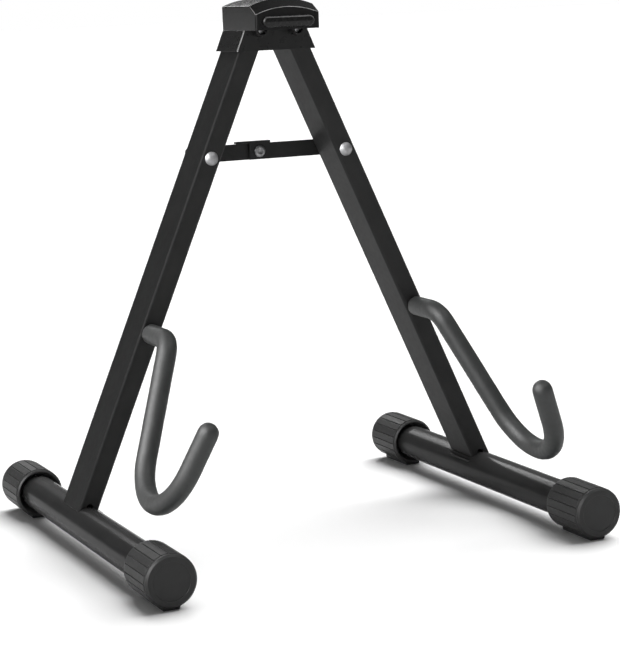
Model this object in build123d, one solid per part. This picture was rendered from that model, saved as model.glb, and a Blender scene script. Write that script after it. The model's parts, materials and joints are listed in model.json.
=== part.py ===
from build123d import *
import math
import os

# Folding A-frame guitar stand, empty. Millimetres, +Z up, front towards -Y.
# Everything is drawn with the legs in the plane Y = 0. The finished stand is then moved back,
# so that its origin lies on the floor, midway between the feet and midway along them.
# Everything right of the centre plane is built once and mirrored to the left.

# ---- Overall layout -------------------------------------------------------
LEG_LEAN = 23.6            # degrees from upright when the stand is open
HINGE_X = 13.5             # hinge axis from the centre plane
HINGE_Z = 349.3
RIVET_Z = 263.4            # height of the brace
HOOK_Z = 146.8             # height where a hook leaves its leg
TUBE_X = 154.0             # foot tube axis
TUBE_Z = 19.0
FOOT_LENGTH = 315.0        # over both end caps
FOOT_MIDDLE_AHEAD = 21.5   # how far the middle of a foot lies in front of its leg

# ---- Fits -----------------------------------------------------------------
RUN_GAP = 0.05             # radial clearance of a pin that something turns on
SEAT_GAP = 0.1             # clearance between pieces fixed to each other
BODY_GAP = 0.3             # least gap between pieces that move past each other
SIDE_PLAY = 0.2            # end play of a leg or link along its pin
JOIN = 1.0                 # overlap that makes two forms of one piece a single solid
BITE = 0.1                 # smaller overlap, where a form is thin

# ---- Legs -----------------------------------------------------------------
LEG_WIDTH = 14.0           # across the A
LEG_DEPTH = 35.0           # front to back
LEG_WALL = 1.5
LEG_CORNER = 2.2
VENT_RADIUS = 2.4          # paint drain notch over the foot tube
VENT_INSET = 1.8

# ---- Feet -----------------------------------------------------------------
TUBE_RADIUS = 12.5
TUBE_WALL = 1.5
CAP_RADIUS = 17.5
CAP_LENGTH = 42.0
CAP_END_WALL = 6.5
CAP_FACETS = 20
GROOVE_WIDTH = 1.0
GROOVE_DEPTH = 0.6
COLLAR_RADIUS = 17.1       # plain band between the facets and the end face
COLLAR_LENGTH = 3.4
COLLAR_BEVEL = 1.3
DISC_RADIUS = 12.6         # shallow disc sunk in the end face
DISC_DEPTH = 0.4
RIM_RADIUS = 16.9          # plain band at the mouth
RIM_LENGTH = 2.4
RIM_BEVEL = 0.9
MOUTH_RADIUS = 15.4        # countersunk opening that the tube goes into
MOUTH_DEPTH = 5.0
PAD_HALF_WIDTH = 6.0       # flat pad that the stand rests on
PAD_INSET = 3.6            # from either end of the cap
PAD_CORNER = 1.2

# ---- Hooks ----------------------------------------------------------------
ROD_RADIUS = 4.0
SLEEVE_RADIUS = 7.0
HOOK_OUT = 25.4            # straight run out of the leg
HOOK_BEND_RADIUS = 15.0
HOOK_BEND_DEG = 68.0
HOOK_SHANK = 72.4
HOOK_U_RADIUS = 39.0
HOOK_U_DEG = 144.0
HOOK_TIP = 27.0
ROD_SHORT = 4.0            # how far the rod stops short of the sleeve's tip
HOOK_SCREW_RADIUS = 2.5
HOOK_SCREW_BITE = 12.0     # thread length inside the rod
HOOK_HEAD_RADIUS = 4.6
HOOK_HEAD_THICK = 3.1
HOOK_HEAD_EDGE = 1.2
HEX_KEY_RADIUS = 1.7
HEX_KEY_DEPTH = 2.0
HOOK_WASHER_RADIUS = 6.0
HOOK_WASHER_THICK = 1.0

# ---- Head cover and its bumper --------------------------------------------
HEAD_HALF_WIDTH = 23.8
HEAD_FRONT = 41.0          # the head overhangs the front of the bracket
HEAD_SIDE_HEIGHT = 16.4
HEAD_CROWN = 4.8           # rise of the arched top over its sides
HEAD_BEVEL_RUN = 11.0
HEAD_BEVEL_DROP = 6.0
HEAD_CORNER = 2.2
HEAD_EDGE = 0.8
HEAD_WALL = 2.5
HEAD_BACK_WALL = 1.2
HEAD_ROOF = 3.4
NOSE_POCKET = 8.0          # height of the hollow under the nose
BUMPER_WIDTH = 38.0
BUMPER_HEIGHT = 7.4
BUMPER_PROUD = 3.0
BUMPER_EDGE = 1.5
BUMPER_ABOVE = 5.4         # its middle, over the head's lower edge
STUD_X = 11.0
STUD_RADIUS = 1.6
STUD_HEAD_RADIUS = 2.5
STUD_HEAD_THICK = 1.0

# ---- Hinge bracket and pins -----------------------------------------------
SKIRT_HEIGHT = 14.1
SKIRT_BOTTOM_HALF = 29.8
SKIRT_TOP_HALF = 23.9
SKIRT_WALL = 2.0
SKIRT_EDGE = 1.2
CHEEK_WALL = 1.6           # front and back walls
CHEEK_THIN = 0.9           # the same walls where the cover fits over them
CHEEK_RISE = 7.8           # from the hinge axis to the top plate
CHEEK_LAP = 2.0            # how far the thin walls run down inside the skirt
BOSS_RADIUS = 4.6
BOSS_LENGTH = 8.2
PIN_RADIUS = 3.0
PIN_SUNK = 5.0             # below the mouth of its boss
PIN_PROUD = 1.6
PIN_HEAD_RADIUS = 3.9
PIN_HEAD_HEIGHT = 1.2
RETAINER_RADIUS = 5.6
RETAINER_THICK = 1.4
WASHER_RADIUS = 6.2
WASHER_THICK = 0.5
SCREW_Y = 9.0              # cover screws in front of and behind the middle
SCREW_RADIUS = 1.5
SCREW_BOSS_RADIUS = 3.2
SCREW_LENGTH = 5.0
SCREW_HEAD_RADIUS = 2.9
SCREW_HEAD_THICK = 1.6

# ---- Brace ----------------------------------------------------------------
LINK_THICK = 2.0
LINK_HEIGHT = 11.4
LINK_OVERHANG = 4.2        # past the rivets in the legs
LINK_CORNER = 3.6
LINK_STOP = 7.7            # the front link ends square, this far past the centre
LINK_WASHER = 0.5
BRACE_WASHER_RADIUS = 5.5
RIVET_RADIUS = 2.5
RIVET_DOME_RADIUS = 4.8
RIVET_DOME_HEIGHT = 2.4
TAIL_RADIUS = 4.2
TAIL_HEIGHT = 1.6
TAB_THICK = 1.4
TAB_LEFT = 17.8            # reach of the stop tab, left and right of the centre
TAB_RIGHT = 8.4

# ---- Worked out from the above --------------------------------------------
LEAN = math.radians(LEG_LEAN)
HALF_DEPTH = LEG_DEPTH / 2
LEG_FRAME = Location((HINGE_X, 0, HINGE_Z), (0, -LEG_LEAN, 0))
RIVET_X = HINGE_X + (HINGE_Z - RIVET_Z) * math.tan(LEAN)
RIVET_DROP = (HINGE_Z - RIVET_Z) / math.cos(LEAN)
HOOK_DROP = (HINGE_Z - HOOK_Z) / math.cos(LEAN)
FOOT_DROP = (HINGE_Z - TUBE_Z) / math.cos(LEAN)
CAP_FRONT = -FOOT_MIDDLE_AHEAD - FOOT_LENGTH / 2
CAP_BACK = CAP_FRONT + FOOT_LENGTH
CHEEK_INNER = HALF_DEPTH + WASHER_THICK + SIDE_PLAY
CHEEK_OUTER = CHEEK_INNER + CHEEK_WALL
CHEEK_HALF = HEAD_HALF_WIDTH - HEAD_WALL - BODY_GAP
TOP_PLATE = HINGE_Z + CHEEK_RISE
SCREW_SEAT = TOP_PLATE + CHEEK_WALL
HEAD_BACK_INSIDE = CHEEK_INNER + CHEEK_THIN + SEAT_GAP
HEAD_BACK = HEAD_BACK_INSIDE + HEAD_BACK_WALL
HEAD_SIDE_TOP = HINGE_Z + HEAD_SIDE_HEIGHT
BUMPER_Z = HINGE_Z + BUMPER_ABOVE
HOOK_SCREW_SEAT = HALF_DEPTH + RUN_GAP + HOOK_WASHER_THICK
LINK_FRONT = HALF_DEPTH + LINK_WASHER + SIDE_PLAY
BACK_LINK_FRONT = LINK_FRONT + LINK_THICK + BODY_GAP
UPRIGHT = (Align.CENTER, Align.CENTER, Align.MIN)


# ---- Helpers --------------------------------------------------------------
def rod_y(radius, start, end, x=0.0, z=0.0):
    """A round bar along Y from start to end."""
    return Location((x, start, z), (-90, 0, 0)) * Cylinder(radius, end - start, align=UPRIGHT)


def rod_z(radius, start, end, y=0.0):
    """A round bar along Z from start to end, over the centre line."""
    return Location((0, y, start)) * Cylinder(radius, end - start, align=UPRIGHT)


def ring_y(outer, inner, start, end, x, z):
    """A tube, washer or spacer along Y."""
    return rod_y(outer, start, end, x, z) - rod_y(inner, start - JOIN, end + JOIN, x, z)


def box_between(low, high):
    """A box from its lowest corner to its highest."""
    size = [b - a for a, b in zip(low, high)]
    centre = [(a + b) / 2 for a, b in zip(low, high)]
    return Location(tuple(centre)) * Box(*size)


def mirrored(shape):
    """The left-hand copy of a right-hand piece."""
    return mirror(shape, about=Plane.YZ)


def group(pieces):
    """Separate solids that share one node."""
    return Compound(list(pieces))


def dome(radius, height, y, x=0.0, z=0.0, back=False):
    """A rivet head, flat at y and crowned to the front, or to the back."""
    sphere_radius = (radius**2 + height**2) / (2 * height)
    side = 1 if back else -1
    ball = Location((x, y - side * (sphere_radius - height), z)) * Sphere(sphere_radius)
    start, end = sorted((y, y + side * height))
    return ball & rod_y(radius, start, end, x, z)


# ---- Head: cover, bumper, bracket, hinge pins -------------------------------
def head_outline(y):
    """The head seen from the front: flat base, upright sides, arched top."""
    half = HEAD_HALF_WIDTH
    edges = [
        Line((-half, y, HEAD_SIDE_TOP), (-half, y, HINGE_Z)),
        Line((-half, y, HINGE_Z), (half, y, HINGE_Z)),
        Line((half, y, HINGE_Z), (half, y, HEAD_SIDE_TOP)),
        ThreePointArc((half, y, HEAD_SIDE_TOP), (0, y, HEAD_SIDE_TOP + HEAD_CROWN), (-half, y, HEAD_SIDE_TOP)),
    ]
    return Face(Wire(edges))


def head_shell():
    """The head's outer form: a level part, and a nose whose top slopes down."""
    bevel_start = -HEAD_FRONT + HEAD_BEVEL_RUN
    outline = head_outline(bevel_start)
    body = extrude(outline, HEAD_BACK - bevel_start, dir=(0, 1, 0))
    slope = math.hypot(HEAD_BEVEL_RUN, HEAD_BEVEL_DROP)
    nose = extrude(outline, slope, dir=(0, -HEAD_BEVEL_RUN, -HEAD_BEVEL_DROP))
    reach = 2 * HEAD_FRONT
    below = box_between((-reach, -reach, HINGE_Z - reach), (reach, reach, HINGE_Z))
    shell = body + (nose - below)
    shell = fillet(shell.edges().filter_by(Axis.Z), HEAD_CORNER)
    lowest_top_edge = HEAD_SIDE_TOP - HEAD_BEVEL_DROP - JOIN
    return fillet(shell.edges().filter_by(lambda edge: edge.center().Z > lowest_top_edge), HEAD_EDGE)


def head_cover():
    """Moulded cap over the hinge, hollow below, with its screw bosses."""
    roof = HEAD_SIDE_TOP - HEAD_ROOF
    inner = HEAD_HALF_WIDTH - HEAD_WALL
    nose_inside = -HEAD_FRONT + HEAD_WALL
    cover = head_shell()
    cover -= box_between((-inner, nose_inside, HINGE_Z), (inner, HEAD_BACK_INSIDE, HINGE_Z + NOSE_POCKET))
    cover -= box_between((-inner, -CHEEK_OUTER - SIDE_PLAY, HINGE_Z), (inner, HEAD_BACK_INSIDE, roof))
    for y in (-SCREW_Y, SCREW_Y):
        cover += rod_z(SCREW_BOSS_RADIUS, SCREW_SEAT, roof + BITE, y)
        cover -= rod_z(SCREW_RADIUS + SEAT_GAP, SCREW_SEAT - JOIN, SCREW_SEAT + SCREW_LENGTH, y)
    for x in (-HINGE_X, HINGE_X):
        cover -= rod_y(RETAINER_RADIUS + SEAT_GAP, CHEEK_INNER, HEAD_BACK + JOIN, x, HINGE_Z)
    for x in (-STUD_X, STUD_X):
        cover -= rod_y(STUD_RADIUS + SEAT_GAP, -HEAD_FRONT - JOIN, nose_inside + JOIN, x, BUMPER_Z)
    return cover


def head_pad():
    """Soft bumper on the nose of the head, held by two moulded studs."""
    outline = Rectangle(BUMPER_WIDTH, BUMPER_HEIGHT)
    outline = fillet(outline.vertices(), BUMPER_HEIGHT / 2 - SEAT_GAP)
    pad = extrude(outline, BUMPER_PROUD)
    pad = fillet(pad.faces().sort_by(Axis.Z)[-1].edges(), BUMPER_EDGE)
    pad = Location((0, -HEAD_FRONT, BUMPER_Z), (90, 0, 0)) * pad
    inside = -HEAD_FRONT + HEAD_WALL + SEAT_GAP
    for x in (-STUD_X, STUD_X):
        pad += rod_y(STUD_RADIUS, -HEAD_FRONT - JOIN, inside + BITE, x, BUMPER_Z)
        pad += rod_y(STUD_HEAD_RADIUS, inside, inside + STUD_HEAD_THICK, x, BUMPER_Z)
    return pad


def trapezoid_block(bottom_half, top_half, depth_half):
    """The flared skirt's shape, centred on Y."""
    low = HINGE_Z - SKIRT_HEIGHT
    corners = [(-bottom_half, low), (bottom_half, low), (top_half, HINGE_Z), (-top_half, HINGE_Z)]
    face = Plane.XZ * make_face(Polyline(*corners, close=True))
    return extrude(face, depth_half, both=True)


def skirt():
    """Flared, open-bottomed housing with rounded corners."""
    outer = trapezoid_block(SKIRT_BOTTOM_HALF, SKIRT_TOP_HALF, CHEEK_OUTER)
    corners = outer.edges().filter_by(Axis.Y, reverse=True).filter_by(Axis.X, reverse=True)
    outer = fillet(corners, SKIRT_EDGE)
    return outer - trapezoid_block(SKIRT_BOTTOM_HALF - SKIRT_WALL, SKIRT_TOP_HALF - SKIRT_WALL, CHEEK_INNER)


def hinge_bracket():
    """The skirt, whose sides stop the open legs, and the walls that carry the hinge pins."""
    bracket = skirt()
    thin = CHEEK_INNER + CHEEK_THIN
    for side in (-1, 1):
        near, far = sorted((side * CHEEK_INNER, side * thin))
        bracket += box_between((-CHEEK_HALF, near, HINGE_Z - CHEEK_LAP), (CHEEK_HALF, far, SCREW_SEAT))
    bracket += box_between((-CHEEK_HALF, -thin, TOP_PLATE), (CHEEK_HALF, thin, SCREW_SEAT))
    boss_front = -CHEEK_OUTER - BOSS_LENGTH
    for x in (-HINGE_X, HINGE_X):
        bracket += rod_y(BOSS_RADIUS, boss_front, -CHEEK_INNER - BITE, x, HINGE_Z)
        bracket -= rod_y(PIN_RADIUS + SEAT_GAP, boss_front - JOIN, CHEEK_OUTER + JOIN, x, HINGE_Z)
    for y in (-SCREW_Y, SCREW_Y):
        bracket -= rod_z(SCREW_RADIUS + SEAT_GAP, TOP_PLATE - JOIN, SCREW_SEAT + JOIN, y)
    return bracket


def cover_screws():
    """Self-tapping screws up through the bracket's top plate."""
    screws = []
    for y in (-SCREW_Y, SCREW_Y):
        head_top = TOP_PLATE - SEAT_GAP
        head = rod_z(SCREW_HEAD_RADIUS, head_top - SCREW_HEAD_THICK, head_top, y)
        screws.append(head + rod_z(SCREW_RADIUS, head_top - BITE, head_top + SCREW_LENGTH, y))
    return group(screws)


def hinge_pins():
    """One pin a leg, sunk in the front boss and riveted over at the back."""
    pins = []
    front = -CHEEK_OUTER - BOSS_LENGTH + PIN_SUNK
    back = CHEEK_OUTER + PIN_PROUD
    for x in (-HINGE_X, HINGE_X):
        pin = rod_y(PIN_RADIUS, front, back, x, HINGE_Z)
        pins.append(pin + dome(PIN_HEAD_RADIUS, PIN_HEAD_HEIGHT, back, x, HINGE_Z, back=True))
    return group(pins)


def hinge_retainers():
    """Steel washers under the riveted ends of the pins."""
    start = CHEEK_OUTER + SEAT_GAP
    end = start + RETAINER_THICK
    hole = PIN_RADIUS + SEAT_GAP
    return group(ring_y(RETAINER_RADIUS, hole, start, end, x, HINGE_Z) for x in (-HINGE_X, HINGE_X))


def hinge_washers():
    """Nylon washers between each leg and the bracket's front and back."""
    washers = []
    hole = PIN_RADIUS + SEAT_GAP
    for x in (-HINGE_X, HINGE_X):
        for start in (-CHEEK_INNER, CHEEK_INNER - WASHER_THICK):
            washers.append(ring_y(WASHER_RADIUS, hole, start, start + WASHER_THICK, x, HINGE_Z))
    return group(washers)


# ---- Leg and its foot -----------------------------------------------------
def leg_section():
    """Cross-section of the rectangular tube."""
    outer = fillet(Rectangle(LEG_WIDTH, LEG_DEPTH).vertices(), LEG_CORNER)
    inner = Rectangle(LEG_WIDTH - 2 * LEG_WALL, LEG_DEPTH - 2 * LEG_WALL)
    return outer - fillet(inner.vertices(), LEG_CORNER - LEG_WALL)


def right_leg():
    """Rectangular tube, round at the hinge and saddled over the foot tube."""
    reach = HALF_DEPTH + JOIN
    bar = Location((0, 0, -FOOT_DROP)) * extrude(leg_section(), FOOT_DROP + LEG_WIDTH)
    below_hinge = box_between((-LEG_WIDTH, -reach, -FOOT_DROP - JOIN), (LEG_WIDTH, reach, 0))
    bar = bar & (below_hinge + rod_y(LEG_WIDTH / 2, -reach, reach))
    bar -= rod_y(PIN_RADIUS + RUN_GAP, -reach, reach)
    bar -= rod_y(RIVET_RADIUS + SEAT_GAP, -reach, reach, 0, -RIVET_DROP)
    bar -= rod_y(ROD_RADIUS + SEAT_GAP, -reach, 0, 0, -HOOK_DROP)
    bar -= rod_y(HOOK_SCREW_RADIUS + SEAT_GAP, 0, reach, 0, -HOOK_DROP)
    leg = LEG_FRAME * bar
    leg -= rod_y(TUBE_RADIUS, -reach, reach, TUBE_X, TUBE_Z)
    return leg - rod_y(VENT_RADIUS, -reach, reach, TUBE_X - VENT_INSET, TUBE_Z + TUBE_RADIUS)


def right_foot_tube():
    """Round tube along the floor, running front to back."""
    inset = CAP_END_WALL + SIDE_PLAY
    return ring_y(TUBE_RADIUS, TUBE_RADIUS - TUBE_WALL, CAP_FRONT + inset, CAP_BACK - inset, TUBE_X, TUBE_Z)


def faceted_outline():
    """Flat facets round the cap, parted by narrow grooves."""
    points = []
    groove = GROOVE_WIDTH / CAP_RADIUS
    floor = CAP_RADIUS - GROOVE_DEPTH
    for facet in range(CAP_FACETS):
        middle = 2 * math.pi * facet / CAP_FACETS
        for offset, radius in ((-0.5, CAP_RADIUS), (-0.25, floor), (0.25, floor), (0.5, CAP_RADIUS)):
            angle = middle + offset * groove
            points.append((radius * math.cos(angle), radius * math.sin(angle)))
    return make_face(Polyline(*points, close=True))


def cap_solid():
    """End cap on a vertical axis, its mouth at z 0 and its end face on top."""
    collar_start = CAP_LENGTH - COLLAR_LENGTH
    rim = chamfer(rod_z(RIM_RADIUS, 0, RIM_LENGTH).edges().group_by(Axis.Z)[0], RIM_BEVEL)
    grip = Location((0, 0, RIM_LENGTH)) * extrude(faceted_outline(), collar_start - RIM_LENGTH)
    collar = chamfer(rod_z(COLLAR_RADIUS, collar_start, CAP_LENGTH).edges().group_by(Axis.Z)[-1], COLLAR_BEVEL)
    collar -= rod_z(DISC_RADIUS, CAP_LENGTH - DISC_DEPTH, CAP_LENGTH + JOIN)
    pad = box_between(
        (-PAD_HALF_WIDTH, -TUBE_Z, PAD_INSET), (PAD_HALF_WIDTH, -TUBE_RADIUS - JOIN, CAP_LENGTH - PAD_INSET)
    )
    pad = fillet(pad.edges().filter_by(Axis.Z).group_by(Axis.Y)[0], PAD_CORNER)
    bore = rod_z(TUBE_RADIUS + SEAT_GAP, -JOIN, CAP_LENGTH - CAP_END_WALL)
    mouth = Cone(MOUTH_RADIUS, TUBE_RADIUS + SEAT_GAP, MOUTH_DEPTH, align=UPRIGHT)
    return rim + grip + collar + pad - bore - mouth


def right_front_cap():
    """Rubber cap on the front end of the foot tube."""
    return Location((TUBE_X, CAP_FRONT + CAP_LENGTH, TUBE_Z), (90, 0, 0)) * cap_solid()


def right_back_cap():
    """The same cap, turned round, on the back end."""
    turned = Location((TUBE_X, CAP_BACK - CAP_LENGTH, TUBE_Z), (0, 0, 180))
    return turned * Location((0, 0, 0), (90, 0, 0)) * cap_solid()


# ---- Hook -----------------------------------------------------------------
def hook_plane():
    """Plane of a hook: x runs forward out of the leg, y down along the leg."""
    root = LEG_FRAME * Location((0, -HALF_DEPTH, -HOOK_DROP))
    return Plane(origin=root.position, x_dir=(0, -1, 0), z_dir=(math.cos(LEAN), 0, math.sin(LEAN)))


def hook_path(start, tip):
    """Centreline: out of the leg, down, round the U and up to the tip."""
    lead = Line((start, 0), (HOOK_OUT, 0))
    bend = JernArc(start=lead @ 1, tangent=lead % 1, radius=HOOK_BEND_RADIUS, arc_size=HOOK_BEND_DEG)
    shank = Line(bend @ 1, bend @ 1 + (bend % 1) * HOOK_SHANK)
    bowl = JernArc(start=shank @ 1, tangent=shank % 1, radius=HOOK_U_RADIUS, arc_size=-HOOK_U_DEG)
    rise = Line(bowl @ 1, bowl @ 1 + (bowl % 1) * tip)
    spans = (lead, bend, shank, bowl, rise)
    return hook_plane() * Wire([edge for span in spans for edge in span.edges()])


def along(path, radius):
    """A round bar along a path."""
    section = Plane(origin=path @ 0, z_dir=path % 0) * Circle(radius)
    return sweep(section, path=path)


def hook_root():
    """Where the hook's axis crosses the leg, as x and z."""
    spot = (LEG_FRAME * Location((0, 0, -HOOK_DROP))).position
    return spot.X, spot.Z


def right_hook_rod():
    """Bent steel rod, screwed to the back wall of the leg."""
    x, z = hook_root()
    back_wall = LEG_DEPTH - LEG_WALL - SEAT_GAP
    rod = along(hook_path(-back_wall, HOOK_TIP - ROD_SHORT), ROD_RADIUS)
    end = back_wall - HALF_DEPTH
    return rod - rod_y(HOOK_SCREW_RADIUS + SEAT_GAP, end - HOOK_SCREW_BITE - JOIN, end + JOIN, x, z)


def right_hook_sleeve():
    """Soft sleeve over the whole hook, closed and round at the tip."""
    path = hook_path(SIDE_PLAY, HOOK_TIP)
    sleeve = along(path, SLEEVE_RADIUS) + Location(tuple(path @ 1)) * Sphere(SLEEVE_RADIUS)
    return sleeve - along(hook_path(-JOIN, HOOK_TIP - ROD_SHORT + SIDE_PLAY), ROD_RADIUS + SEAT_GAP)


def right_hook_screw():
    """Screw through the back wall of the leg into the rod."""
    x, z = hook_root()
    seat = HOOK_SCREW_SEAT + SEAT_GAP
    screw = rod_y(HOOK_SCREW_RADIUS, HALF_DEPTH - LEG_WALL - HOOK_SCREW_BITE, seat + BITE, x, z)
    head = rod_y(HOOK_HEAD_RADIUS, seat, seat + HOOK_HEAD_THICK, x, z)
    head = fillet(head.edges().filter_by(GeomType.CIRCLE).group_by(Axis.Y)[-1], HOOK_HEAD_EDGE)
    key = Location((x, seat + HOOK_HEAD_THICK - HEX_KEY_DEPTH, z), (-90, 0, 0))
    return screw + head - key * extrude(RegularPolygon(HEX_KEY_RADIUS, 6), HEX_KEY_DEPTH + JOIN)


def right_hook_washer():
    """Washer under the hook screw."""
    x, z = hook_root()
    hole = HOOK_SCREW_RADIUS + SEAT_GAP
    return ring_y(HOOK_WASHER_RADIUS, hole, HALF_DEPTH + RUN_GAP, HOOK_SCREW_SEAT, x, z)


# ---- Brace ----------------------------------------------------------------
def leg_rivet(end):
    """Dome-headed rivet through the right leg, up to end."""
    front = -HALF_DEPTH - RUN_GAP
    shank = rod_y(RIVET_RADIUS, front - BITE, end, RIVET_X, RIVET_Z)
    return shank + dome(RIVET_DOME_RADIUS, RIVET_DOME_HEIGHT, front, RIVET_X, RIVET_Z)


def right_brace_rivet():
    """The rivet that the front link turns on, with its formed tail."""
    end = LINK_FRONT + LINK_THICK + BODY_GAP
    return leg_rivet(end) + dome(TAIL_RADIUS, TAIL_HEIGHT, end - BITE, RIVET_X, RIVET_Z, back=True)


def left_brace_rivet():
    """The rivet through the left leg, up to the back link's face."""
    return mirrored(leg_rivet(BACK_LINK_FRONT - BODY_GAP))


def left_rivet_tail():
    """Formed tail of the left leg's rivet, which stays with the back link."""
    end = BACK_LINK_FRONT + LINK_THICK + SEAT_GAP
    shank = rod_y(RIVET_RADIUS, BACK_LINK_FRONT, end + BITE, -RIVET_X, RIVET_Z)
    return shank + dome(TAIL_RADIUS, TAIL_HEIGHT, end, -RIVET_X, RIVET_Z, back=True)


def centre_rivet():
    """Rivet that joins the two links."""
    end = BACK_LINK_FRONT + LINK_THICK + BODY_GAP
    rivet = rod_y(RIVET_RADIUS, LINK_FRONT - BITE, end, 0, RIVET_Z)
    rivet += dome(TAIL_RADIUS, TAIL_HEIGHT, LINK_FRONT - RUN_GAP, 0, RIVET_Z)
    return rivet + dome(TAIL_RADIUS, TAIL_HEIGHT, end - BITE, 0, RIVET_Z, back=True)


def right_brace_washer():
    """Thin washer between the right leg and the front link."""
    hole = RIVET_RADIUS + SEAT_GAP
    start = HALF_DEPTH + RUN_GAP
    return ring_y(BRACE_WASHER_RADIUS, hole, start, HALF_DEPTH + LINK_WASHER, RIVET_X, RIVET_Z)


def left_brace_spacer():
    """Spacer that sets the back link behind the front one."""
    hole = RIVET_RADIUS + SEAT_GAP
    start = HALF_DEPTH + RUN_GAP
    return ring_y(BRACE_WASHER_RADIUS, hole, start, BACK_LINK_FRONT - BODY_GAP, -RIVET_X, RIVET_Z)


def strip(inner, outer, y):
    """A flat link from its inner end, square, to its outer end, with rounded corners."""
    half = LINK_HEIGHT / 2
    low, high = sorted((inner, outer))
    bar = box_between((low, y, RIVET_Z - half), (high, y + LINK_THICK, RIVET_Z + half))
    side = -1 if outer > inner else 0
    return fillet(bar.edges().filter_by(Axis.Y).group_by(Axis.X)[side], LINK_CORNER)


def link_hole(radius, y, x):
    """The hole for a rivet in a link."""
    return rod_y(radius, y - JOIN, y + LINK_THICK + JOIN, x, RIVET_Z)


def front_link():
    """Right-hand link, with the tab that stops the brace at straight."""
    link = strip(-LINK_STOP, RIVET_X + LINK_OVERHANG, LINK_FRONT)
    top = RIVET_Z + LINK_HEIGHT / 2
    tab = top + BODY_GAP
    back = BACK_LINK_FRONT + LINK_THICK
    link += box_between((-LINK_STOP, LINK_FRONT, top - JOIN), (TAB_RIGHT, LINK_FRONT + LINK_THICK, tab + JOIN))
    link += box_between((-TAB_LEFT, LINK_FRONT, tab), (TAB_RIGHT, back, tab + TAB_THICK))
    link -= link_hole(RIVET_RADIUS + RUN_GAP, LINK_FRONT, RIVET_X)
    return link - link_hole(RIVET_RADIUS + SEAT_GAP, LINK_FRONT, 0)


def back_link():
    """Left-hand link, lying behind the front one at the centre rivet."""
    link = strip(0, -RIVET_X - LINK_OVERHANG, BACK_LINK_FRONT)
    link += rod_y(LINK_HEIGHT / 2, BACK_LINK_FRONT, BACK_LINK_FRONT + LINK_THICK, 0, RIVET_Z)
    link -= link_hole(RIVET_RADIUS + RUN_GAP, BACK_LINK_FRONT, 0)
    return link - link_hole(RIVET_RADIUS + SEAT_GAP, BACK_LINK_FRONT, -RIVET_X)


# ---- Output ---------------------------------------------------------------
SINGLE = (
    head_cover, head_pad, hinge_bracket, cover_screws, hinge_pins, hinge_retainers, hinge_washers,
    right_brace_rivet, left_brace_rivet, right_brace_washer, left_brace_spacer,
    front_link, back_link, centre_rivet, left_rivet_tail,
)
PAIRED = (
    right_leg, right_foot_tube, right_front_cap, right_back_cap,
    right_hook_rod, right_hook_sleeve, right_hook_screw, right_hook_washer,
)


def write(piece, node):
    """Moves a piece into the stand's own frame and writes it."""
    export_step(Location((0, FOOT_MIDDLE_AHEAD, 0)) * piece, f"parts/{node}.step")


def main():
    os.makedirs("parts", exist_ok=True)
    for build in SINGLE:
        write(build(), build.__name__)
    for build in PAIRED:
        piece = build()
        write(piece, build.__name__)
        write(mirrored(piece), build.__name__.replace("right", "left"))


main()
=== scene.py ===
import json
import math

import bmesh
import bpy
from mathutils import Matrix, Vector, noise


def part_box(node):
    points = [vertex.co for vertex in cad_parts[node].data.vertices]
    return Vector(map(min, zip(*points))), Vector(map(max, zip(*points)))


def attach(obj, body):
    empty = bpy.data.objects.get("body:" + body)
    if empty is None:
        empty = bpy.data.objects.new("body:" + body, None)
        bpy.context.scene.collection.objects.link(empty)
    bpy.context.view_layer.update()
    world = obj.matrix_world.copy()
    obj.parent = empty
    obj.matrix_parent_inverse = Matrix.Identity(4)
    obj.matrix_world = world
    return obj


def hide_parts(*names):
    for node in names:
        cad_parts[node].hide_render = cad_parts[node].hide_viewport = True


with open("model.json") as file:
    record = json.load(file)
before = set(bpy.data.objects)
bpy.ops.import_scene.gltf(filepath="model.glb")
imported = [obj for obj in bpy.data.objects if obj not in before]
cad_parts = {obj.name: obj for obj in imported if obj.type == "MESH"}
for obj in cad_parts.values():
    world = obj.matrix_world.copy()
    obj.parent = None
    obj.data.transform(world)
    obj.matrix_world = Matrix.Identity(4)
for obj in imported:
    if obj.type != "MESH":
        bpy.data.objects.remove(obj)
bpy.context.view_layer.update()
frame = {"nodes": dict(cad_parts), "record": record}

NODES = frame["nodes"]
JOINTS = {joint["name"]: joint for joint in frame["record"]["behaviour"]["joints"]}
SIDES = ("left", "right")

# The camera, in front of the stand, to its left and a little above. Metres and degrees.
CAMERA_AZIMUTH = math.radians(-24.1)
CAMERA_ELEVATION = math.radians(9.1)
CAMERA_ROLL = math.radians(-2.25)
CAMERA_DISTANCE = 1.4896
CAMERA_AIM = Vector((0.0256, 0.0215, 0.1356))
CAMERA_LENS = 113.8

# The studio. Greys are linear.
FLOOR_HALF = 30.0
FLOOR_GREY = (0.93, 0.93, 0.93, 1)
FLOOR_ROUGHNESS = 0.5
STUDIO_LOW = (0.10, 0.10, 0.10, 1)
STUDIO_HIGH = (0.22, 0.22, 0.22, 1)
PAPER_WHITE = (1, 1, 1, 1)
SUN_PLACE = (1.2, 1.0, 2.3)
SUN_STRENGTH = 4.5
SUN_ANGLE = math.radians(65)
# Soft panels that only sheens see: name, place, aim, size and radiance.
PANELS = (
    ("shank_box", (-1.6, -0.25, 1.1), (0, 0, 0.15), (2.2, 1.4), 15.0),
    ("left_box", (-1.7, -0.8, 0.4), (0, 0, 0.3), (0.4, 0.4), 8.0),
    ("upper_left_box", (-0.8, 0.6, 1.8), (0, 0, 0.35), (0.35, 0.35), 20.0),
    ("front_box", (0.75, -0.7, 1.7), (0, 0, 0.35), (0.35, 0.6), 12.0),
    ("back_box", (0.3, 2.6, 1.6), (0, 0, 0.1), (1.3, 0.35), 11.0),
)

# Sockets of a Mix node that mixes colours.
MIX_SHARE, MIX_A, MIX_B, MIX_RESULT = 0, 6, 7, 2

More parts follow.
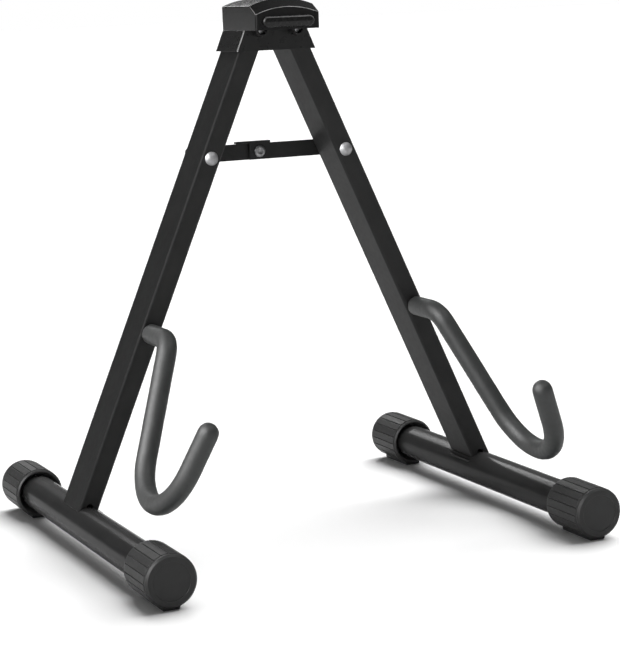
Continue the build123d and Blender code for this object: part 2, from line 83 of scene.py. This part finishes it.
# Painted highlight lines in the base colour along moulded edges: their strength, by how far
# forward the surface looks. They stay put when lights move.
# The flat faces look forward by 0, 0.48 (the head's chamfer) and 1.
PAINTED_HIGHLIGHT_BANDS = (
    (0.16, 0), (0.24, 1), (0.34, 1), (0.44, 0), (0.53, 0), (0.62, 1), (0.86, 1), (0.96, 0),
)
EDGE_SAMPLES = 6

# The foam sleeves.
SLEEVE_VOXEL = 0.0016
SLEEVE_SMOOTHING = 4
SLEEVE_SWELL = 0.00012     # how far the soft skin wanders
SLEEVE_RIPPLE = 90.0       # ripples a metre

# The bumper on the nose.
BUMPER_STEPS = 10          # rings over the rounded edge, and over the face
BUMPER_EDGE = 0.42         # radius of the edge, as a share of half the height
BUMPER_CROWN = 0.0004
BUMPER_CENTRE = 0.00005    # radius of the innermost ring
END_STEPS = 12             # points round each end

# The weld beads between legs and foot tubes.
BEAD_RADIUS = 0.0011
BEAD_PITCH = 0.0017
BEAD_UNEVEN = 0.12
BEAD_RIPPLE = 900.0
BEAD_SQUASH = (1, 1.25, 0.9, 1)
BEAD_VOXEL = BEAD_RADIUS / 4
BEAD_INSET = 0.002         # from the leg's front and back edges
LEG_HALF = 0.007           # half the leg's thickness

# The brace's middle rivet.
RIVET_SIDES = 48
RIVET_SHANK = 0.0025
RIVET_HEAD = 0.0016        # height of each head
# Share of the head's radius, and share of its height behind the tip.
RIVET_FRONT = (
    (0.04, 0.50), (0.36, 0.50), (0.41, 0.46), (0.44, 0.14), (0.50, 0.02), (0.58, 0.0),
    (0.70, 0.05), (0.84, 0.22), (0.94, 0.52), (1.0, 0.92), (0.97, 1.0),
)
RIVET_BACK = (
    (0.97, 1.0), (1.0, 0.92), (0.94, 0.56), (0.80, 0.28), (0.60, 0.11), (0.30, 0.02), (0.04, 0.0),
)


# ---- Stage ----------------------------------------------------------------
def add_camera():
    """The photograph's viewpoint, tipped a little to the side as it was."""
    azimuth, elevation = CAMERA_AZIMUTH, CAMERA_ELEVATION
    back = Vector((
        math.sin(azimuth) * math.cos(elevation),
        -math.cos(azimuth) * math.cos(elevation),
        math.sin(elevation),
    ))
    right = (-back).cross(Vector((0, 0, 1))).normalized()
    up = right.cross(-back)
    cos_roll, sin_roll = math.cos(CAMERA_ROLL), math.sin(CAMERA_ROLL)
    x_axis = right * cos_roll + up * sin_roll
    y_axis = up * cos_roll - right * sin_roll
    data = bpy.data.cameras.new("camera")
    data.lens = CAMERA_LENS
    camera = bpy.data.objects.new("camera", data)
    turn = Matrix((x_axis, y_axis, back)).transposed().to_4x4()
    camera.matrix_world = Matrix.Translation(CAMERA_AIM + back * CAMERA_DISTANCE) @ turn
    bpy.context.scene.collection.objects.link(camera)
    bpy.context.scene.camera = camera


def add_light(name, kind, place, aim, power):
    data = bpy.data.lights.new(name, kind)
    data.energy = power
    light = bpy.data.objects.new(name, data)
    light.location = place
    light.rotation_euler = (Vector(aim) - Vector(place)).to_track_quat("-Z", "Y").to_euler()
    bpy.context.scene.collection.objects.link(light)
    return data


def softbox(name, place, aim, size, radiance):
    """A rectangular light of even radiance that only glossy surfaces see."""
    width, height = size
    data = add_light(name, "AREA", place, aim, radiance * math.pi * width * height)
    data.shape = "RECTANGLE"
    data.size, data.size_y = size
    bpy.data.objects[name].visible_diffuse = False


def add_world():
    """A dark studio round the pale floor, with plain white behind the picture."""
    world = bpy.data.worlds.new("studio")
    world.use_nodes = True
    tree = world.node_tree
    background = tree.nodes["Background"]
    place = tree.nodes.new("ShaderNodeTexCoord")
    split = tree.nodes.new("ShaderNodeSeparateXYZ")
    ramp = tree.nodes.new("ShaderNodeValToRGB")
    paths = tree.nodes.new("ShaderNodeLightPath")
    mix = tree.nodes.new("ShaderNodeMix")
    mix.data_type = "RGBA"
    low, high = ramp.color_ramp.elements
    low.color, high.color = STUDIO_LOW, STUDIO_HIGH
    tree.links.new(place.outputs["Generated"], split.inputs["Vector"])
    tree.links.new(split.outputs["Z"], ramp.inputs["Fac"])
    tree.links.new(ramp.outputs["Color"], mix.inputs[MIX_A])
    mix.inputs[MIX_B].default_value = PAPER_WHITE
    tree.links.new(paths.outputs["Is Camera Ray"], mix.inputs[MIX_SHARE])
    tree.links.new(mix.outputs[MIX_RESULT], background.inputs["Color"])
    bpy.context.scene.world = world
    bpy.context.scene.view_settings.view_transform = "Standard"


def add_floor():
    mesh = bpy.data.meshes.new("floor")
    signs = ((-1, -1), (1, -1), (1, 1), (-1, 1))
    corners = [(x * FLOOR_HALF, y * FLOOR_HALF, 0) for x, y in signs]
    mesh.from_pydata(corners, [], [(0, 1, 2, 3)])
    floor = bpy.data.objects.new("floor", mesh)
    bpy.context.scene.collection.objects.link(floor)
    material = bpy.data.materials.new("floor")
    material.use_nodes = True
    shader = material.node_tree.nodes["Principled BSDF"]
    shader.inputs["Base Color"].default_value = FLOOR_GREY
    shader.inputs["Roughness"].default_value = FLOOR_ROUGHNESS
    shader.inputs["Specular IOR Level"].default_value = 0.0
    mesh.materials.append(material)


def add_lights():
    """A wide soft sun that only shades, and panels that only show in sheens."""
    sun = add_light("overhead", "SUN", SUN_PLACE, (0, 0, 0), SUN_STRENGTH)
    sun.angle = SUN_ANGLE
    bpy.data.objects["overhead"].visible_glossy = False
    for panel in PANELS:
        softbox(*panel)


# ---- Materials ------------------------------------------------------------
class Nodes:
    """A material under construction."""

    def __init__(self, name):
        self.material = bpy.data.materials.new(name)
        self.material.use_nodes = True
        self.tree = self.material.node_tree
        self.shader = self.tree.nodes["Principled BSDF"]
        self.coords = self.tree.nodes.new("ShaderNodeTexCoord")
        self.place = self.coords.outputs["Object"]

    def node(self, kind, **values):
        node = self.tree.nodes.new(kind)
        for key, value in values.items():
            if key in node.inputs:
                node.inputs[key].default_value = value
            else:
                setattr(node, key, value)
        return node

    def link(self, output, target):
        self.tree.links.new(output, target)

    def noise(self, scale, detail=3.0, roughness=0.55):
        node = self.node("ShaderNodeTexNoise", Scale=scale, Detail=detail, Roughness=roughness)
        self.link(self.place, node.inputs["Vector"])
        return node.outputs["Fac"]

    def ramp(self, source, low, high, start=0.3, end=0.7):
        """Maps start to end of the source onto low to high, numbers or colours."""
        node = self.tree.nodes.new("ShaderNodeValToRGB")
        spots = node.color_ramp.elements
        spots[0].position, spots[1].position = start, end
        spots[0].color = self.colour(low)
        spots[1].color = self.colour(high)
        self.link(source, node.inputs["Fac"])
        return node.outputs["Color"]

    def colour(self, value):
        if isinstance(value, (int, float)):
            return (value, value, value, 1)
        return (*value, 1)

    def bump(self, height, strength, distance, under=None):
        node = self.node("ShaderNodeBump", Strength=strength, Distance=distance)
        self.link(height, node.inputs["Height"])
        if under is not None:
            self.link(under, node.inputs["Normal"])
        return node.outputs["Normal"]

    def edges(self, radius):
        """A mask that is 1 along sharp edges and 0 elsewhere, and the eased normal."""
        rounded = self.node("ShaderNodeBevel", Radius=radius, samples=EDGE_SAMPLES)
        flat = self.tree.nodes.new("ShaderNodeNewGeometry")
        dot = self.node("ShaderNodeVectorMath", operation="DOT_PRODUCT")
        self.link(rounded.outputs["Normal"], dot.inputs[0])
        self.link(flat.outputs["Normal"], dot.inputs[1])
        mask = self.ramp(dot.outputs["Value"], 1.0, 0.0, start=0.90, end=0.995)
        return mask, rounded.outputs["Normal"]

    def painted_highlights(self):
        """Painted highlight mask: 1 on rounded edges that look up and part way forward, 0 on the flat
        faces.
        """
        split = self.tree.nodes.new("ShaderNodeSeparateXYZ")
        self.link(self.coords.outputs["Normal"], split.inputs["Vector"])
        forward = self.node("ShaderNodeMath", operation="MULTIPLY")
        self.link(split.outputs["Y"], forward.inputs[0])
        forward.inputs[1].default_value = -1.0
        bands = self.tree.nodes.new("ShaderNodeValToRGB")
        self.link(forward.outputs["Value"], bands.inputs["Fac"])
        spots = bands.color_ramp.elements
        for spot, (position, share) in zip(spots, (PAINTED_HIGHLIGHT_BANDS[0], PAINTED_HIGHLIGHT_BANDS[-1])):
            spot.position, spot.color = position, self.colour(share)
        for position, share in PAINTED_HIGHLIGHT_BANDS[1:-1]:
            spots.new(position).color = self.colour(share)
        up = self.ramp(split.outputs["Z"], 0.0, 1.0, start=0.02, end=0.12)
        both = self.node("ShaderNodeMath", operation="MULTIPLY")
        self.link(bands.outputs["Color"], both.inputs[0])
        self.link(up, both.inputs[1])
        return both.outputs["Value"]

    def worn_and_highlit(self, colour, edge, rub_and_highlight_tone, patchy):
        """The colour, turned to a pale edge tone where the mask and a patchy noise meet: rubbed wear
        on sharp edges, painted highlight on the crest mask.
        """
        share = self.node("ShaderNodeMath", operation="MULTIPLY")
        self.link(edge, share.inputs[0])
        self.link(patchy, share.inputs[1])
        mix = self.node("ShaderNodeMix", data_type="RGBA")
        self.link(share.outputs["Value"], mix.inputs[MIX_SHARE])
        self.link(colour, mix.inputs[MIX_A])
        mix.inputs[MIX_B].default_value = self.colour(rub_and_highlight_tone)
        return mix.outputs[MIX_RESULT]


def powder_coat(name, tone, rough, specular, rub_and_highlight_tone):
    """Black powder coat: orange-peel bump, uneven sheen, faintly rubbed edges."""
    m = Nodes(name)
    edge, rounded = m.edges(radius=0.0005)
    base = m.ramp(m.noise(scale=45, detail=5), *tone)
    patchy = m.ramp(m.noise(scale=120, detail=4), 0.0, 0.7, start=0.45, end=0.7)
    m.link(m.worn_and_highlit(base, edge, rub_and_highlight_tone, patchy), m.shader.inputs["Base Color"])
    m.link(m.ramp(m.noise(scale=260, detail=4), *rough), m.shader.inputs["Roughness"])
    m.shader.inputs["Specular IOR Level"].default_value = specular
    peel = m.bump(m.noise(scale=1100, detail=2), strength=0.05, distance=0.0003, under=rounded)
    fine = m.bump(m.noise(scale=3400, detail=2), strength=0.06, distance=0.0001, under=peel)
    m.link(fine, m.shader.inputs["Normal"])
    return m.material


def moulded(name, tone, rough, specular, rub_and_highlight_tone, grain, painted_highlights=False):
    """Moulded plastic or rubber: fine grain, soft sheen changes, pale rubbed edges, or instead
    painted highlight lines on edges that look up and forward.
    """
    m = Nodes(name)
    edge, rounded = m.edges(radius=0.0004)
    # With the crest mask, the pale edge tone is a painted highlight on edges that look up and
    # forward.
    if painted_highlights:
        edge = m.painted_highlights()
    base = m.ramp(m.noise(scale=60, detail=5), *tone)
    patchy = m.ramp(m.noise(scale=150, detail=4), 0.5, 1.0, start=0.4, end=0.6)
    m.link(m.worn_and_highlit(base, edge, rub_and_highlight_tone, patchy), m.shader.inputs["Base Color"])
    m.link(m.ramp(m.noise(scale=320, detail=4), *rough), m.shader.inputs["Roughness"])
    m.shader.inputs["Specular IOR Level"].default_value = specular
    cells = m.node("ShaderNodeTexVoronoi", Scale=2600.0)
    m.link(m.place, cells.inputs["Vector"])
    skin = m.bump(cells.outputs["Distance"], strength=grain, distance=0.0001, under=rounded)
    m.link(skin, m.shader.inputs["Normal"])
    return m.material


def foam_sleeve(name, tone, rough, specular):
    """Skinned foam tube: satin skin, fine pores, faintly mottled."""
    m = Nodes(name)
    m.link(m.ramp(m.noise(scale=80, detail=6), *tone), m.shader.inputs["Base Color"])
    m.link(m.ramp(m.noise(scale=300, detail=4), *rough), m.shader.inputs["Roughness"])
    m.shader.inputs["Specular IOR Level"].default_value = specular
    pores = m.bump(m.noise(scale=2400, detail=3), strength=0.12, distance=0.0001)
    skin = m.bump(m.noise(scale=420, detail=3), strength=0.08, distance=0.0002, under=pores)
    m.link(skin, m.shader.inputs["Normal"])
    return m.material


def plated(name, tone, rough):
    """Zinc-plated steel with a faint bloom and small scuffs."""
    m = Nodes(name)
    m.link(m.ramp(m.noise(scale=420, detail=5), *tone), m.shader.inputs["Base Color"])
    m.link(m.ramp(m.noise(scale=700, detail=4), *rough), m.shader.inputs["Roughness"])
    m.shader.inputs["Metallic"].default_value = 1.0
    scuffs = m.bump(m.noise(scale=1500, detail=3), strength=0.15, distance=0.0002)
    m.link(scuffs, m.shader.inputs["Normal"])
    return m.material


def slot_materials():
    """One material for each slot of the record."""
    return {
        "leg_paint": powder_coat(
            "satin_black_paint", tone=(0.030, 0.036), rough=(0.38, 0.46), specular=0.035, rub_and_highlight_tone=0.05,
        ),
        "foot_paint": powder_coat(
            "gloss_black_paint", tone=(0.038, 0.044), rough=(0.18, 0.24), specular=0.04, rub_and_highlight_tone=0.06,
        ),
        "link_paint": powder_coat(
            "link_black_paint", tone=(0.016, 0.020), rough=(0.42, 0.52), specular=0.15, rub_and_highlight_tone=0.05,
        ),
        # Head and bracket: their pale edge tone is a painted highlight along edges that look up and
        # forward.
        "head_plastic": moulded(
            "head_black_plastic", tone=(0.009, 0.012), rough=(0.15, 0.21), specular=0.12,
            rub_and_highlight_tone=0.45, grain=0.03, painted_highlights=True,
        ),
        "bracket_plastic": moulded(
            "bracket_black_plastic", tone=(0.012, 0.015), rough=(0.26, 0.32), specular=0.18,
            rub_and_highlight_tone=0.45, grain=0.02, painted_highlights=True,
        ),
        # Bumper: its pale edge tone is a painted highlight along edges that look up and forward.
        "pad_rubber": moulded(
            "bumper_rubber", tone=(0.011, 0.014), rough=(0.24, 0.30), specular=0.2,
            rub_and_highlight_tone=0.16, grain=0.02, painted_highlights=True,
        ),
        "cap_rubber": moulded(
            "cap_black_rubber", tone=(0.026, 0.032), rough=(0.44, 0.54), specular=0.22,
            rub_and_highlight_tone=0.06, grain=0.12,
        ),
        "hook_sleeve": foam_sleeve(
            "grey_foam_sleeve", tone=((0.015, 0.0165, 0.016), (0.021, 0.023, 0.0223)),
            rough=(0.52, 0.62), specular=0.5,
        ),
        "rivet_zinc": plated(
            "rivet_zinc_plate", tone=((0.24, 0.24, 0.245), (0.34, 0.34, 0.345)), rough=(0.48, 0.60),
        ),
        "plain_steel": plated(
            "steel_zinc_plate", tone=((0.36, 0.36, 0.37), (0.5, 0.5, 0.51)), rough=(0.28, 0.42),
        ),
        "nylon": moulded(
            "natural_nylon", tone=((0.6, 0.57, 0.5), (0.68, 0.65, 0.57)), rough=(0.4, 0.5),
            specular=0.5, rub_and_highlight_tone=0.6, grain=0.1,
        ),
    }


def paint_frame(materials):
    """Gives every CAD node the material of its slot."""
    slots = {part["node"]: part["material_slot"] for part in frame["record"]["subparts"]}
    for name, node in NODES.items():
        node.data.materials.clear()
        node.data.materials.append(materials[slots[name]])


# ---- Pieces made here -----------------------------------------------------
def smooth_faces(mesh):
    for face in mesh.polygons:
        face.use_smooth = True


def add_piece(name, mesh, body, slot, materials):
    """A new piece that moves with the body and wears the slot's material."""
    piece = bpy.data.objects.new(name, mesh)
    bpy.context.scene.collection.objects.link(piece)
    mesh.materials.clear()
    mesh.materials.append(materials[slot])
    smooth_faces(mesh)
    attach(piece, body)
    return piece


def mesh_from(bm, name):
    mesh = bpy.data.meshes.new(name)
    bm.to_mesh(mesh)
    bm.free()
    return mesh


def skinned(loops, name):
    """A closed mesh over loops of points, with a flat face on the first and the last."""
    bm = bmesh.new()
    rings = [[bm.verts.new(point) for point in loop] for loop in loops]
    count = len(rings[0])
    for first, second in zip(rings, rings[1:]):
        for i in range(count):
            j = (i + 1) % count
            bm.faces.new((first[i], first[j], second[j], second[i]))
    bm.faces.new(rings[-1])
    bm.faces.new(list(reversed(rings[0])))
    bmesh.ops.recalc_face_normals(bm, faces=bm.faces)
    return mesh_from(bm, name)


def remeshed(piece, voxel, smoothing=0):
    """Rebuilds the piece's mesh in even small faces."""
    remesh = piece.modifiers.new("remesh", "REMESH")
    remesh.mode = "VOXEL"
    remesh.voxel_size = voxel
    if smoothing:
        smooth = piece.modifiers.new("smooth", "SMOOTH")
        smooth.iterations = smoothing
    graph = bpy.context.evaluated_depsgraph_get()
    mesh = bpy.data.meshes.new_from_object(piece.evaluated_get(graph))
    piece.modifiers.clear()
    piece.data = mesh
    smooth_faces(mesh)


def soft_sleeve(side, materials):
    """The foam sleeve, remeshed from its CAD solid, with a soft uneven skin."""
    node = f"{side}_hook_sleeve"
    mesh = NODES[node].data.copy()
    piece = add_piece(f"{side}_foam_sleeve", mesh, f"{side}_leg", "hook_sleeve", materials)
    remeshed(piece, SLEEVE_VOXEL, SLEEVE_SMOOTHING)
    for vertex in piece.data.vertices:
        spot = vertex.co * SLEEVE_RIPPLE
        vertex.co += vertex.normal * (noise.noise(spot) * SLEEVE_SWELL)
    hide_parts(node)


def rounded_loop(half_width, half_height, inset, y):
    """Points round a stadium, seen from the front, inset from its edge."""
    radius = max(half_height - inset, BUMPER_CENTRE)
    straight = half_width - half_height
    points = []
    for centre, start in ((straight, -90), (-straight, 90)):
        for step in range(END_STEPS + 1):
            angle = math.radians(start + 180 * step / END_STEPS)
            points.append(Vector((centre + radius * math.cos(angle), y, radius * math.sin(angle))))
    return points


def soft_bumper(materials):
    """The rubber bumper on the nose: rounded edge, faintly crowned face."""
    low, high = (Vector(corner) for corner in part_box("head_pad"))
    half_width = (high.x - low.x) / 2
    half_height = (high.z - low.z) / 2
    centre = Vector(((low.x + high.x) / 2, 0, (low.z + high.z) / 2))
    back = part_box("head_cover")[0][1]
    edge = half_height * BUMPER_EDGE
    front = low.y + BUMPER_CROWN
    rings = [(0, back)]
    for step in range(BUMPER_STEPS + 1):
        angle = math.radians(90 * step / BUMPER_STEPS)
        rings.append((edge * (1 - math.cos(angle)), front + edge * (1 - math.sin(angle))))
    for step in range(1, BUMPER_STEPS + 1):
        share = step / BUMPER_STEPS
        rise = BUMPER_CROWN * math.sin(share * math.pi / 2)
        rings.append((edge + (half_height - edge) * share, front - rise))
    loops = [
        [centre + point for point in rounded_loop(half_width, half_height, inset, y)]
        for inset, y in rings
    ]
    piece = add_piece("nose_bumper", skinned(loops, "nose_bumper"), "head", "pad_rubber", materials)
    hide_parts("head_pad")


def turned_rivet(materials):
    """The brace's middle rivet, turned with a sunk centre in its front head."""
    low, high = (Vector(corner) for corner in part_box("centre_rivet"))
    centre = (low + high) / 2
    radius = (high.x - low.x) / 2
    rings = [(radius * out, low.y + RIVET_HEAD * back) for out, back in RIVET_FRONT]
    rings.append((RIVET_SHANK, low.y + RIVET_HEAD))
    rings.append((RIVET_SHANK, high.y - RIVET_HEAD))
    rings += [(radius * out, high.y - RIVET_HEAD * back) for out, back in RIVET_BACK]
    turns = [math.tau * i / RIVET_SIDES for i in range(RIVET_SIDES)]
    loops = [
        [(centre.x + out * math.cos(turn), y, centre.z + out * math.sin(turn)) for turn in turns]
        for out, y in rings
    ]
    mesh = skinned(loops, "turned_rivet")
    piece = add_piece("turned_rivet", mesh, "front_link", "rivet_zinc", materials)
    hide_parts("centre_rivet")


def weld_bead(name, start, end, body, materials):
    """A row of overlapping weld ripples from start to end."""
    run = end - start
    count = int(run.length / BEAD_PITCH)
    squash = Matrix.Diagonal(BEAD_SQUASH)
    bm = bmesh.new()
    for i in range(count + 1):
        spot = start + run * (i / count)
        size = BEAD_RADIUS * (1 + BEAD_UNEVEN * noise.noise(spot * BEAD_RIPPLE))
        bmesh.ops.create_uvsphere(
            bm, u_segments=16, v_segments=10, radius=size, matrix=Matrix.Translation(spot) @ squash
        )
    piece = add_piece(name, mesh_from(bm, name), body, "foot_paint", materials)
    remeshed(piece, BEAD_VOXEL)


def weld_beads(side, materials):
    """Beads where the outer and inner faces of a leg meet its foot tube."""
    tube_low, tube_high = (Vector(corner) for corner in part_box(f"{side}_foot_tube"))
    axis = (tube_low + tube_high) / 2
    radius = (tube_high.z - tube_low.z) / 2
    hinge = Vector(JOINTS[f"{side}_leg_fold"]["pos_m"])
    up = Vector((hinge.x - axis.x, 0, hinge.z - axis.z)).normalized()
    across = Vector((up.z, 0, -up.x))
    leg_low, leg_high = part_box(f"{side}_leg")
    rise = math.sqrt(radius**2 - LEG_HALF**2)
    outward = 1 if side == "right" else -1
    for face, sign in (("outer", outward), ("inner", -outward)):
        foot = Vector((axis.x, 0, axis.z)) + up * rise + across * (sign * LEG_HALF)
        start = Vector((foot.x, leg_low[1] + BEAD_INSET, foot.z))
        end = Vector((foot.x, leg_high[1] - BEAD_INSET, foot.z))
        weld_bead(f"{side}_{face}_weld", start, end, f"{side}_leg", materials)


add_world()
add_floor()
add_lights()
add_camera()
MATERIALS = slot_materials()
paint_frame(MATERIALS)
for side in SIDES:
    soft_sleeve(side, MATERIALS)
    weld_beads(side, MATERIALS)
soft_bumper(MATERIALS)
turned_rivet(MATERIALS)
